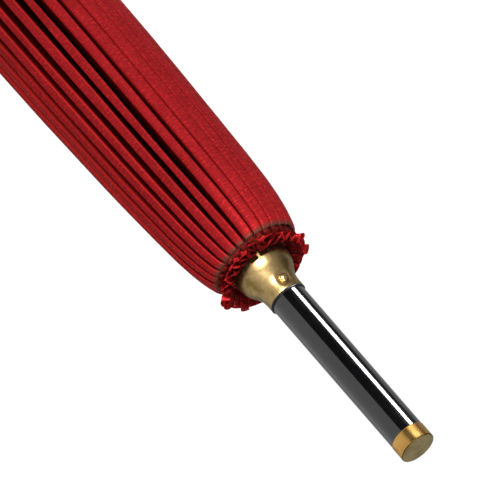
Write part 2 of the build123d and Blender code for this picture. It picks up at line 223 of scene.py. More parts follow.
# %% Handling marks group
marks_group, source, sink = group(
    "handling marks",
    [("Cloud size", "NodeSocketFloat", 60.0), ("Scratch size", "NodeSocketFloat", 900.0)],
    [("Smears", "NodeSocketFloat"), ("Scratches", "NodeSocketFloat"), ("Grit", "NodeSocketFloat")],
)
spot = node(marks_group, "ShaderNodeTexCoord").outputs["Object"]
clouds = node(
    marks_group, "ShaderNodeTexNoise", {"Detail": 4.0, "Roughness": 0.6},
    {"Vector": spot, "Scale": source.outputs["Cloud size"]},
)
long_spot = node(marks_group, "ShaderNodeMapping", {"Scale": (1.0, 1.0, 0.08)}, {"Vector": spot})
lines = node(
    marks_group, "ShaderNodeTexNoise", {"Detail": 2.0, "Roughness": 0.5},
    {"Vector": long_spot.outputs[0], "Scale": source.outputs["Scratch size"]},
)
grit = node(marks_group, "ShaderNodeTexNoise", {"Scale": 2600.0, "Detail": 3.0}, {"Vector": spot})
smears = ramp(marks_group, clouds.outputs["Fac"], [(0.38, 0.0), (0.68, 1.0)])
scratches = ramp(marks_group, lines.outputs["Fac"], [(0.5, 0.0), (0.7, 1.0)])
marks_group.links.new(smears, sink.inputs["Smears"])
marks_group.links.new(scratches, sink.inputs["Scratches"])
marks_group.links.new(grit.outputs["Fac"], sink.inputs["Grit"])
print("handling marks group:", len(marks_group.nodes), "nodes")

# %% [markdown]
# ## Red cloth
# The canopy and the rosette are the same satin-like cloth. Its colour goes from a deep wine red
# to a bright red on the slubs. A plain surface as smooth as satin would shine white, so the
# reflection is tinted red and the cloth is made slightly metallic. Three tones are stored on
# the mesh: worn and greyish where the cloth rubs at the shoulder, a painted highlight along the
# outer edges of the ridges, and painted shade deep inside a fold, where little light gets in.

# %% Cloth material
SATIN_TINT = (1.0, 0.05, 0.035, 1)
WORN_TONE = (0.085, 0.045, 0.03)


def cloth(name, deep, bright, in_shade, slub_amount, roughness):
    made, tree, shader = material(name, Metallic=0.2, Specular_IOR_Level=0.06, Roughness=roughness)
    shader.inputs["Specular Tint"].default_value = SATIN_TINT
    uv = node(tree, "ShaderNodeUVMap", uv_map="cloth").outputs["UV"]
    weave = place_group(tree, weave_group, {"Slub amount": slub_amount}, {"Cloth place": uv})
    worn, ridge_highlight, fold_shade = (
        node(tree, "ShaderNodeAttribute", attribute_name=label).outputs["Fac"]
        for label in ("worn", "ridge_highlight", "fold_shade")
    )
    tone = ramp(tree, weave.outputs["Tone"], [(0.3, 0.82), (0.7, 1.12)])
    grain = ramp(tree, weave.outputs["Yarn height"], [(0.3, 0.66), (0.8, 1.3)])
    base = mix(tree, weave.outputs["Slubs"], deep, bright)
    base = mix(tree, 1.0, base, tone, "MULTIPLY")
    base = mix(tree, 1.0, base, grain, "MULTIPLY")
    # painted highlight: the ridges' outer edges are mixed towards the bright red
    base = mix(tree, ridge_highlight, base, bright)
    # painted shade: deep in the folds and pleats the colour is multiplied by the in_shade colour
    base = mix(tree, fold_shade, base, mix(tree, 1.0, base, in_shade, "MULTIPLY"))
    base = mix(tree, worn, base, WORN_TONE)
    tree.links.new(base, shader.inputs["Base Color"])
    rough = ramp(tree, weave.outputs["Slubs"], [(0.0, roughness + 0.14), (0.4, roughness - 0.1)])
    tree.links.new(rough, shader.inputs["Roughness"])
    roughen(tree, shader, 0.5, mm(0.05), weave.outputs["Yarn height"])
    return made


CANOPY_CLOTH = cloth(
    "canopy cloth", deep=(0.37, 0.014, 0.018), bright=(0.76, 0.036, 0.03),
    in_shade=(0.32, 0.25, 0.25), slub_amount=0.45, roughness=0.36,
)
# The rosette's copy of the same cloth has darker colours as painted shade: it sits below the shoulder, and
# the bell's lamp reaches it too.
ROSETTE_CLOTH_SHADED = cloth(
    "shaded rosette cloth", deep=(0.20, 0.006, 0.008), bright=(0.62, 0.04, 0.03),
    in_shade=(0.12, 0.15, 0.15), slub_amount=0.5, roughness=0.3,
)
print("cloth materials:", CANOPY_CLOTH.name, ROSETTE_CLOTH_SHADED.name)

# %% [markdown]
# ## Brass
# Four brasses are used. The bell is aged: olive-gold, with darker cloudy patina and a soft
# highlight. The ferrule's tip is newer and more golden, with a duller end face that wears on the
# ground and a darker, rougher rolled edge. All are one recipe with other colours, and the fine
# scratches run along the shaft, as turning and handling leave them.

# %% Brass materials


def brass(name, light, dark, roughness):
    made, tree, shader = material(name, Metallic=1.0, Roughness=roughness)
    marks = place_group(tree, marks_group, {"Cloud size": 170.0, "Scratch size": 1500.0})
    patina = mix(tree, marks.outputs["Smears"], light, dark)
    patina = mix(tree, sums(tree, "MULTIPLY", marks.outputs["Grit"], 0.35), patina, dark)
    tree.links.new(patina, shader.inputs["Base Color"])
    rough = sums(tree, "ADD", sums(tree, "MULTIPLY", marks.outputs["Smears"], 0.12), roughness)
    rough = sums(tree, "ADD", rough, sums(tree, "MULTIPLY", marks.outputs["Scratches"], 0.06))
    tree.links.new(rough, shader.inputs["Roughness"])
    marks_relief = sums(tree, "ADD", marks.outputs["Scratches"], marks.outputs["Grit"])
    roughen(tree, shader, 0.25, mm(0.05), marks_relief)
    return made


AGED_BRASS = brass("aged brass", (0.52, 0.37, 0.165), (0.20, 0.13, 0.043), 0.29)
TIP_BRASS = brass("tip brass", (0.74, 0.43, 0.13), (0.54, 0.29, 0.07), 0.27)
FACE_BRASS = brass("tip face brass", (0.50, 0.40, 0.19), (0.30, 0.23, 0.10), 0.42)
EDGE_BRASS = brass("tip edge brass", (0.20, 0.10, 0.03), (0.10, 0.05, 0.015), 0.55)
print("brass materials: 4")

# %% [markdown]
# ## Lacquer
# The shaft and the grip are wood under black lacquer. The base is nearly black, and a clear coat
# over it carries the sharp reflections, which a single rough surface could not.

# %% Lacquer


def lacquer(name, base, base_roughness):
    made, tree, shader = material(
        name, Roughness=base_roughness, Coat_Weight=1.0, Coat_Roughness=0.03, Specular_IOR_Level=0.4
    )
    marks = place_group(tree, marks_group, {"Cloud size": 35.0, "Scratch size": 700.0})
    smeared = tuple(part * 1.9 for part in base)
    tone = mix(tree, sums(tree, "MULTIPLY", marks.outputs["Smears"], 0.5), base, smeared)
    tree.links.new(tone, shader.inputs["Base Color"])
    rough = sums(tree, "ADD", sums(tree, "MULTIPLY", marks.outputs["Scratches"], 0.08), base_roughness)
    tree.links.new(rough, shader.inputs["Roughness"])
    return made


LACQUER = lacquer("black lacquer", (0.004, 0.004, 0.0045), 0.12)
GRIP_LACQUER = lacquer("grip lacquer", (0.006, 0.005, 0.005), 0.2)
print("lacquers: 2")

# %% [markdown]
# ## Split bamboo
# The ribs and stretchers are split from one cane, so their fibres run from end to end. The
# fibre is noise pulled very long along the shaft, and the same noise makes the relief.

# %% Bamboo


def bamboo(name, light, dark):
    made, tree, shader = material(name, Roughness=0.45, Coat_Weight=0.25, Coat_Roughness=0.25)
    spot = node(tree, "ShaderNodeTexCoord").outputs["Object"]
    pulled = node(tree, "ShaderNodeMapping", {"Scale": (1400, 1400, 18)}, {"Vector": spot})
    fibre = node(
        tree, "ShaderNodeTexNoise", {"Scale": 1.0, "Detail": 4.0, "Roughness": 0.65},
        {"Vector": pulled.outputs[0]},
    )
    marks = place_group(tree, marks_group, {"Cloud size": 40.0})
    tone = ramp(tree, fibre.outputs["Fac"], [(0.3, dark), (0.7, light)])
    tone = mix(tree, sums(tree, "MULTIPLY", marks.outputs["Smears"], 0.4), tone, dark)
    tree.links.new(tone, shader.inputs["Base Color"])
    roughen(tree, shader, 0.4, mm(0.08), fibre.outputs["Fac"])
    return made


BAMBOO = bamboo("split bamboo", light=(0.62, 0.42, 0.20), dark=(0.36, 0.21, 0.08))
print("bamboo ready")

# %% [markdown]
# ## Rubber, moulded plastic and wire
# The seal, the runner and hub, and the hinge wires are simple finishes. One recipe is enough for
# the three: two close colours in smears, scratches in the roughness and a fine grit.

# %% Rubber, moulded plastic and wire


def plain(name, base, other, roughness, metal=0.0):
    made, tree, shader = material(name, Metallic=metal, Roughness=roughness)
    marks = place_group(tree, marks_group, {"Cloud size": 120.0})
    tree.links.new(mix(tree, marks.outputs["Smears"], base, other), shader.inputs["Base Color"])
    rough = sums(tree, "ADD", sums(tree, "MULTIPLY", marks.outputs["Scratches"], 0.15), roughness)
    tree.links.new(rough, shader.inputs["Roughness"])
    roughen(tree, shader, 0.2, mm(0.06), marks.outputs["Grit"])
    return made


RUBBER = plain("black rubber", (0.003, 0.003, 0.003), (0.006, 0.006, 0.006), 0.4)
MOULDED = plain("moulded black", (0.012, 0.012, 0.013), (0.03, 0.028, 0.026), 0.42)
WIRE = plain("drawn wire", (0.55, 0.54, 0.52), (0.32, 0.30, 0.28), 0.3, metal=1.0)
print("rubber, moulded and wire ready")

# %% [markdown]
# ## CAD pieces that stay
# The ribs, the stretchers, the shaft and the mechanism have the right shape already, so they
# keep their CAD meshes and only change their material.

# %% New finishes for the CAD pieces
NODE_FINISH = {
    "shaft_rod": LACQUER, "grip": GRIP_LACQUER, "grip_end_cap": AGED_BRASS,
    "grip_collar": AGED_BRASS, "catch": WIRE, "catch_pin": WIRE, "stop_ring": MOULDED,
    "top_hub": MOULDED, "hub_wire": WIRE, "hub_pin": WIRE, "runner": MOULDED,
    "runner_ring": AGED_BRASS, "runner_wire": WIRE,
}
for number in range(1, RIBS + 1):
    NODE_FINISH[f"rib_{number:02d}"] = BAMBOO
    NODE_FINISH[f"stretcher_{number:02d}"] = BAMBOO
for name, finish in NODE_FINISH.items():
    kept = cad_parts[name]
    kept = bpy.data.objects[kept] if isinstance(kept, str) else kept
    for slot in kept.material_slots:
        slot.material = finish
print("CAD nodes with a new finish:", len(NODE_FINISH))

# %% [markdown]
# ## Turned pieces
# The bell, the ferrule's tip and the lacquer are turned on a lathe, so one helper spins an
# outline around the shaft. The outline is a list of (radius, height) points, which a smooth
# curve may round first.

# %% Lathe helpers


def outline(base, rows):
    """(radius, height above base) rows in millimetres, as points in metres."""
    return [(mm(radius), base + mm(height)) for radius, height in rows]


def smooth_line(points, per_span):
    """Points on a curve through the given ones, with straight ends."""
    points = [np.array(p, float) for p in points]
    padded = [2 * points[0] - points[1], *points, 2 * points[-1] - points[-2]]
    line = []
    for before, start, end, after in zip(padded, padded[1:], padded[2:], padded[3:]):
        for t in np.arange(per_span) / per_span:
            bend = (2 * before - 5 * start + 4 * end - after) * t**2
            twist = (3 * start - before - 3 * end + after) * t**3
            line.append(0.5 * (2 * start + (end - before) * t + bend + twist))
    return np.array([*line, points[-1]])


def grid_object(name, points, finish, wrap=False):
    """A mesh object from a grid of points, rows by columns, with smooth faces."""
    rows, columns = points.shape[:2]
    faces = []
    for row in range(rows - 1):
        for column in range(columns if wrap else columns - 1):
            right = (column + 1) % columns
            a, b = row * columns + column, row * columns + right
            faces.append((a, b, b + columns, a + columns))
    mesh = bpy.data.meshes.new(name)
    mesh.from_pydata(points.reshape(-1, 3).tolist(), [], faces)
    mesh.polygons.foreach_set("use_smooth", [True] * len(mesh.polygons))
    mesh.update()
    made = bpy.data.objects.new(name, mesh)
    bpy.context.scene.collection.objects.link(made)
    made.data.materials.append(finish)
    return made


def turned(name, line, finish, segments=160):
    line = np.array(line, float)
    angles = np.linspace(0, 2 * np.pi, segments, endpoint=False)
    points = np.empty((len(line), segments, 3))
    points[..., 0] = line[:, :1] * np.cos(angles)
    points[..., 1] = line[:, :1] * np.sin(angles)
    points[..., 2] = line[:, 1:]
    return grid_object(name, points, finish, wrap=True)


def tidy_mesh(piece, sharp_degrees=None):
    """Merges doubled points, turns the faces outwards and marks sharp edges."""
    work = bmesh.new()
    work.from_mesh(piece.data)
    bmesh.ops.remove_doubles(work, verts=work.verts, dist=1e-7)
    bmesh.ops.recalc_face_normals(work, faces=work.faces)
    if sharp_degrees is not None:
        for edge in work.edges:
            edge.smooth = edge.calc_face_angle(0.0) < math.radians(sharp_degrees)
    work.to_mesh(piece.data)
    work.free()
    return piece


def finish_piece(piece, body, slot, *nodes):
    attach(piece, body)
    if nodes:
        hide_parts(*nodes)


print("lathe helpers ready")

# %% [markdown]
# ## Lacquer on the ferrule rod
# The long glossy rod is what the eye meets first. A fine-sided skin of lacquer over the wood
# keeps the reflections straight, where the CAD mesh would show its facets.

# %% Rod skin
ROD_R = mm(8.03)
CAP_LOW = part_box("ferrule_cap")[0][2]
SKIN_LOW = NECK + mm(0.4)  # inside the seal
ROD_ROWS = 12
rod_line = [(ROD_R, z) for z in np.linspace(SKIN_LOW, CAP_LOW, ROD_ROWS)]
rod_skin = tidy_mesh(turned("rod_lacquer", rod_line, LACQUER))
finish_piece(rod_skin, "frame", "black_lacquer")
print("rod skin:", len(rod_skin.data.vertices), "points")

# %% [markdown]
# ## Brass tip
# The tip is a drawn brass cup with a rolled edge. The roll's faces take the darker brass, which
# dulls its glint and draws a dark line between side and end face, and the end face is a separate
# disc with a shallow turned groove.

# %% Brass tip
CAP_R, CAP_BORE = mm(8.17), mm(7.5)
EDGE = mm(0.35)  # radius of the rolled edge
MOUTH = mm(0.12)  # bevel of the cup's mouth
WALL_LOW = CAP_LOW + mm(0.4)  # the wall is straight from here to the roll
ROLL_TURNS = np.linspace(0.3, math.pi / 2, 6)
tip_line = [(CAP_BORE, CAP_LOW), (CAP_R - MOUTH, CAP_LOW), (CAP_R, CAP_LOW + MOUTH)]
tip_line += [(CAP_R, z) for z in np.linspace(WALL_LOW, TOP - EDGE, 5)]
for turn in ROLL_TURNS:
    tip_line.append((CAP_R - EDGE + EDGE * math.cos(turn), TOP - EDGE + EDGE * math.sin(turn)))
tip = tidy_mesh(turned("ferrule_tip", tip_line, TIP_BRASS))
tip.data.materials.append(EDGE_BRASS)
# darker brass on the roll: it dulls the glint and draws a dark line between side and face
for face in tip.data.polygons:
    face.material_index = int(face.center.z > TOP - EDGE)
finish_piece(tip, "frame", "polished_brass", "ferrule_cap")

FACE_GROOVE = [(7.6, -0.02), (7.4, -0.12), (7.1, -0.03), (4, -0.01), (0.001, 0)]
face_line = [(CAP_R - EDGE, TOP), *outline(TOP, FACE_GROOVE)]
tip_face = tidy_mesh(turned("ferrule_tip_face", face_line, FACE_BRASS))
finish_piece(tip_face, "frame", "polished_brass")
print("tip:", len(tip.data.vertices) + len(tip_face.data.vertices), "points")

# %% [markdown]
# ## Bell cap, its screw and the seal
# The bell is spun from sheet brass: a straight neck, a hollow waist, a full belly and a lip
# that turns in. The screw sits in a shallow dimple, which is pressed into the lathe's mesh by
# moving the points near it inwards.

# %% Bell
SCREW_TURN = math.radians(33)  # from the front, over -Y, towards -X
SCREW_DOWN, WAIST_R = mm(5.0), mm(8.85)  # below the neck, and the bell's radius there
DIMPLE_R, DIMPLE_DEPTH = mm(4.9), mm(0.95)
BELL_LINE = [
    (8.35, 0), (8.62, -0.25), (8.7, -1.2), (8.72, -3.4), (8.95, -5.8), (9.7, -8.2),
    (10.9, -10.4), (12.2, -12.8), (13.0, -15.6), (13.2, -18.4), (13.0, -21.1), (12.6, -21.4),
    (12.2, -20.8), (11.9, -16), (11.0, -12.5), (9.6, -9.8), (8.3, -8.4),
]
bell = turned("bell_cap_spun", smooth_line(outline(NECK, BELL_LINE), 8), AGED_BRASS, segments=220)
screw_out = Vector((-math.sin(SCREW_TURN), -math.cos(SCREW_TURN), 0))
screw_place = screw_out * WAIST_R + Vector((0, 0, NECK - SCREW_DOWN))
for vertex in bell.data.vertices:
    away = (vertex.co - screw_place).length
    if away < DIMPLE_R:
        pressed = min(1, 0.65 + 0.65 * math.cos(math.pi * away / DIMPLE_R))
        vertex.co += -screw_out * DIMPLE_DEPTH * pressed
tidy_mesh(bell)
finish_piece(bell, "frame", "antique_brass", "bell_cap")
print("bell points:", len(bell.data.vertices))

# %% Screw and seal
DOME_LINE = [(0.001, 1.0), (0.7, 0.94), (1.3, 0.72), (1.8, 0.36), (2.0, 0.0), (2.0, -1.2)]
SCREW_LEAN = 0.25  # radians upwards, square to the bell's waist
SCREW_SUNK = mm(0.35)
screw_lean = (screw_out * math.cos(SCREW_LEAN) + Vector((0, 0, math.sin(SCREW_LEAN)))).normalized()
screw = turned("bell_screw_dome", smooth_line(outline(0, DOME_LINE), 4), AGED_BRASS, segments=48)
screw.rotation_euler = screw_lean.to_track_quat("Z", "Y").to_euler()
screw.location = screw_place - screw_out * SCREW_SUNK
bpy.context.view_layer.update()
screw.data.transform(screw.matrix_world)
screw.matrix_world.identity()
tidy_mesh(screw)
finish_piece(screw, "frame", "antique_brass", "bell_screw")

SEAL_LINE = [(8.03, 0.02), (8.5, 0.02), (8.7, 0.2), (8.7, 0.55), (8.5, 0.75), (8.03, 0.8)]
seal = tidy_mesh(turned("seal", smooth_line(outline(NECK, SEAL_LINE), 3), RUBBER), sharp_degrees=50)
finish_piece(seal, "frame", "black_rubber", "sealing_ring")
print("screw points:", len(screw.data.vertices), "seal points:", len(seal.data.vertices))

# %% [markdown]
# ## The shape of the folded bundle
# Every gore has the same outline down the shaft, so it is kept as a function: the radius of the
# bundle at a height. A second function says how deep the folds may go, because the runner,
# the hub and the stretchers stand inside the bundle.

# %% Bundle outline
OUTLINE_DOWN = mm(np.array([-1, 0, 3, 8, 16, 25, 40, 60, 84, 110, 150, 200, 300, 440]))
OUTLINE_R = mm(np.array(
    [20.9, 21.6, 22.6, 23.9, 25.2, 26.15, 27.05, 28.0, 28.8, 29.6, 30.1, 30.4, 30.2, 29.6]
))
FOLD_Z = mm(np.array([90, 150, 158, 183, 187, 203, 208, 360, 430, 490, 505, 515, 525, 531]))
FOLD_IN = mm(np.array(
    [9.0, 9.2, 13.0, 13.0, 19.4, 19.4, 14.1, 14.1, 12.3, 14.0, 17.5, 19.3, 19.6, 19.2]
))
SMOOTHED = mm(2)  # the outline is averaged over this much above and below


def bundle_radius(z):
    line = np.interp(SHOULDER - z, OUTLINE_DOWN, OUTLINE_R)
    near = [np.interp(SHOULDER - z + d, OUTLINE_DOWN, OUTLINE_R) for d in (-SMOOTHED, SMOOTHED)]
    return (2 * line + near[0] + near[1]) / 4


def fold_floor(z):
    """The least radius that a fold's bottom may reach at this height."""
    return np.interp(z, FOLD_Z, FOLD_IN)


print("radius at the shoulder and the rim:", bundle_radius(SHOULDER), bundle_radius(RIM))

# %% [markdown]
# ## Ridges
# Between two ribs the cloth makes one rib's half ridge, a deep fold, a pressed ridge in the
# middle, another deep fold and the next rib's half ridge. A cloth simulation would have to fold
# fourteen gores at once, so the folds are shaped by a formula, with seeded random values for
# each ridge so that no two are alike.

# %% Ridges of the bundle
rng = np.random.default_rng(11)
RIDGES = 2 * RIBS
ridge_lift = rng.uniform(-mm(0.35), mm(0.3), RIDGES)
ridge_shift = rng.uniform(-0.10, 0.10, RIDGES)
ridge_shift[::2] = 0  # the ridges on the ribs stay on them
wave_phase = rng.uniform(0, 2 * np.pi, (RIDGES, 3))
wave_length = rng.uniform(0.07, 0.24, (RIDGES, 3))
ridge_lean = rng.uniform(-0.10, 0.10, RIDGES)
BORROWED_GAP, BORROWED_LIFT = 9, 5  # gap and lift take another ridge's waves, this many further on


def wobble(ridge, z):
    """Slow waves down each ridge, between -1 and 1, different for every ridge."""
    ridge = ridge % RIDGES
    waves = np.sin(2 * np.pi * z[:, None] / wave_length[ridge] + wave_phase[ridge])
    return waves.mean(axis=1)


print("ridges:", RIDGES)

# %% [markdown]
# ## Columns and rows of a gore
# A gore is a grid. Its columns run down the shaft and lie closer together at the edge of a
# ridge and at the mouth of a fold, where the cloth bends most. Its rows lie closer together at
# the shoulder. Each column knows its ridge, its side of the ridge and how far out it is.

# %% Grid of a gore
ALONG, SHOULDER_ROWS, SHOULDER_SHARE = 150, 48, 0.12
ROWS = np.concatenate([
    np.linspace(0, SHOULDER_SHARE, SHOULDER_ROWS, endpoint=False),
    np.linspace(SHOULDER_SHARE, 1, ALONG - SHOULDER_ROWS),
])
BAND_STEPS = np.linspace(0, 1, 9)
FOLD_STEPS = np.array([0.025, 0.06, 0.1, 0.16, 0.25, 0.36, 0.5, 0.66, 0.83, 1.0])
HALF = np.concatenate([BAND_STEPS, 1 + FOLD_STEPS])  # 0 on a ridge, 1 at its edge, 2 deep in the fold
COUNTS = [len(HALF), len(HALF) - 1, len(HALF) - 1, len(HALF) - 1]
RIDGE = np.repeat([0, 1, 1, 2], COUNTS)
SIDE = np.repeat([1, -1, 1, -1], COUNTS)
REACH = np.concatenate([HALF, HALF[-2::-1], HALF[1:], HALF[-2::-1]])
NOMINAL = (RIDGE + SIDE * REACH / 4) / 2  # place across the gore, 0 on its rib, 1 on the next
OUTWARD = np.minimum(REACH, 1)
INNER = np.clip(REACH - 1, 0, 1)
print("gore grid:", ALONG, "rows by", len(REACH), "columns")

# %% [markdown]
# ## How the folds lie
# The bundle is packed tightly on two sides, where the folds are narrow slits, and loosely on
# the other two, where they gape. A ridge on a rib can't be narrower than the rib, or the bamboo
# would show. Near the shoulder all folds close.

# %% Fold width
TIGHT_GAP, LOOSE_GAP, LOOSE_GAP_MIDDLE = 0.07, 0.42, 0.52  # of half a pitch
LOOSE_SIDE = math.radians(-60)  # the bundle is packed loosely here and on the opposite side
LOOSE_WIDTH, LOOSE_EASE = 0.55, 0.8  # how wide the loose sides are, and how softly they end
GAP_WAVE = 0.25  # how much a fold's width changes down the shaft
RIB_HALF = mm(1.85)
CLOSED_SHARE = 0.55  # of a fold's width at the shoulder
CLOSED_LENGTH = mm(45)


def looseness(around_shaft):
    """0 where the bundle is packed tightly, 1 where it is loose, eased in between."""
    share = np.clip((np.cos(2 * (around_shaft - LOOSE_SIDE)) + LOOSE_WIDTH) / LOOSE_EASE, 0, 1)
    return share * share * (3 - 2 * share)


def fold_gap(ridge, z, outer, loose):
    """The width of the gap beside each column's ridge, as a share of half a pitch."""
    widest = np.where(RIDGE == 1, LOOSE_GAP_MIDDLE, LOOSE_GAP)
    opened = CLOSED_SHARE + (1 - CLOSED_SHARE) * np.clip((SHOULDER - z) / CLOSED_LENGTH, 0, 1)
    gap = TIGHT_GAP + (widest - TIGHT_GAP) * loose
    gap = gap * opened * (1 + GAP_WAVE * wobble(ridge + BORROWED_GAP, z))
    half_pitch = np.pi * outer / RIDGES
    return np.where(RIDGE == 1, gap, np.minimum(gap, 1 - RIB_HALF / half_pitch))


print("loose at the front and the side:", looseness(-np.pi / 2).round(2), looseness(0.0).round(2))

# %% [markdown]
# ## The surface of a gore
# Row by row, the angle of each point comes from its ridge and its place on it, and its radius
# from the bundle's outline, the ridge's dome and the depth of the fold. At the shoulder the
# cloth curls in and is worn. The same row gives the three tones that the cloth material reads.

# %% Points of a gore
OVER_SHOULDER = mm(0.6)  # the cloth starts this far above the shoulder
HEM_OVER, HEM_RISE = mm(2), mm(30)  # the hem passes the ribs' ends and rises between them
OFF_CENTRE, OFF_CENTRE_LENGTH = mm(0.6), mm(70)
LIFT_WAVE, LEAN_HEIGHT, DOME = mm(0.22), mm(3), mm(0.45)
CURL_BELOW, CURL_LENGTH, CURL_IN = mm(2.2), mm(2.8), mm(0.9)
WORN_BELOW, WORN_LENGTH = mm(1.2), mm(1.6)
STEEP = 0.8  # under 1, the sides of a fold fall in steeply at its mouth
DARK_FROM = 0.09  # the share of a fold's depth at which it is fully dark
# A painted highlight lies on the outer tenth of a ridge, stronger on one side of it than on the other.
RIDGE_HIGHLIGHT = np.where(SIDE < 0, 0.9, 0.35) * np.clip((REACH - 0.86) / 0.1, 0, 1) * (INNER < 0.03)


def gore_points(number):
    """The points of one gore with its three tones: worn edge, painted highlight on ridge edges, painted shade
    in the folds.
    """
    ridge = (2 * number + RIDGE) % RIDGES
    around_shaft = (number + NOMINAL) * STEP
    loose = looseness(around_shaft)
    hem = RIM - HEM_OVER + HEM_RISE * np.sin(np.pi * NOMINAL) ** 0.8
    start = SHOULDER + OVER_SHOULDER
    points = np.empty((ALONG, len(REACH), 3))
    worn, ridge_highlight, fold_shade = (np.empty((ALONG, len(REACH))) for _ in range(3))
    for row, share in enumerate(ROWS):
        z = start + (hem - start) * share
        tilted = OFF_CENTRE * np.clip(1 - (SHOULDER - z) / OFF_CENTRE_LENGTH, 0, 1)
        outer = bundle_radius(z) - tilted * np.cos(around_shaft)
        gap = fold_gap(ridge, z, outer, loose)
        q = (1 - gap) * OUTWARD + gap * INNER  # 0 on the ridge, 1 in the middle of the gap
        shift = ridge_shift[ridge] * (0.6 + 0.4 * wobble(ridge, z)) * (1 - q**2)
        angle = (number + (RIDGE + SIDE * q / 2 + shift) / 2) * STEP
        lift = ridge_lift[ridge] + LIFT_WAVE * wobble(ridge + BORROWED_LIFT, z)
        lean = ridge_lean[ridge] * SIDE * LEAN_HEIGHT * q * (1 - q) * (1 - INNER)
        radius = outer + lift * (1 - INNER) - DOME * OUTWARD**5 + lean
        radius = radius - (radius - fold_floor(z)) * INNER**STEEP
        radius = radius - CURL_IN * np.clip((z - SHOULDER + CURL_BELOW) / CURL_LENGTH, 0, 1) ** 2
        points[row] = np.stack([radius * np.cos(angle), radius * np.sin(angle), z], axis=1)
        edge = np.clip((z - SHOULDER + WORN_BELOW) / WORN_LENGTH, 0, 1)
        worn[row] = edge * np.clip(1.2 - 0.4 * INNER, 0, 1)
        # painted shade, growing from the mouth of each fold to full at DARK_FROM of its depth
        fold_shade[row] = np.clip(INNER / DARK_FROM, 0, 1) ** STEEP
        # painted highlight on the ridges' edges, stronger where the bundle is loose
        ridge_highlight[row] = RIDGE_HIGHLIGHT * (0.2 + 0.8 * loose)
    return points, worn, ridge_highlight, fold_shade


print("gore shape ready")

# %% [markdown]
# ## Cloth coordinates
# The weave must keep its scale on every fold, so each point's place on the cloth is measured
# along the mesh itself: along its row from the middle, and down its own column from the top.

# %% Cloth coordinates and tones


def lay_cloth(piece, points, worn, ridge_highlight, fold_shade):
    """Gives a grid mesh its cloth coordinates in metres and its three tones."""
    rows, columns = points.shape[:2]
    across = np.linalg.norm(np.diff(points, axis=1), axis=2)
    across = np.hstack([np.zeros((rows, 1)), np.cumsum(across, axis=1)])
    across = across - across[:, columns // 2][:, None]
    along = np.linalg.norm(np.diff(points, axis=0), axis=2)
    along = np.vstack([np.zeros((1, columns)), np.cumsum(along, axis=0)])
    place = np.stack([across, along], axis=2).reshape(-1, 2)
    layer = piece.data.uv_layers.new(name="cloth")
    corner = np.empty(len(piece.data.loops), int)
    piece.data.loops.foreach_get("vertex_index", corner)
    layer.data.foreach_set("uv", place[corner].astype(np.float32).ravel())
    for label, values in (("worn", worn), ("ridge_highlight", ridge_highlight), ("fold_shade", fold_shade)):
        tone = piece.data.attributes.new(label, "FLOAT", "POINT")
        tone.data.foreach_set("value", values.astype(np.float32).ravel())


print("cloth coordinates ready")

# %% [markdown]
# ## Gores on their ribs
# A gore belongs to two ribs. Each gore is built as a grid with its cloth coordinates and
# three tones, its points are fixed where they stand, and the CAD gore it replaces is hidden.

# %% Make the gores
gores = []
for number in range(RIBS):
    points, *tones = (grid[:, ::-1] for grid in gore_points(number))
    gore = grid_object(f"gore_cloth_{number + 1:02d}", points, CANOPY_CLOTH)
    lay_cloth(gore, points, *tones)
    rib, fold = f"rib_{number + 1:02d}", f"gore_{number + 1:02d}"
    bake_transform(gore)
    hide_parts(fold)
    gores.append(gore)

# %% [markdown]
# ## Crown and rosette
# Over the rib heads the cloth is drawn together and tied round the shaft, and its free end
# stands up as a ruffle, the rosette. Both are strips gathered into pleats: the pleat's section
# is a loop that leans over its neighbour, and the ruffle's edge is cut in points. The pleats
# differ in size, lean, length, turn and how far they flop outwards.

# %% Pleated strip
PLEATS = 23
LOOK = 24  # columns in one pleat
FLOP, UNEVEN = mm(0.5), mm(1.0)  # most that a pleat's edge flops out, and differs in length
FOOT_SIZE = 0.72  # a pleat's size at the strip's foot, of its size at the edge
LEAN_PITCH = 0.3  # how far a pleat leans over its neighbour, in pitches


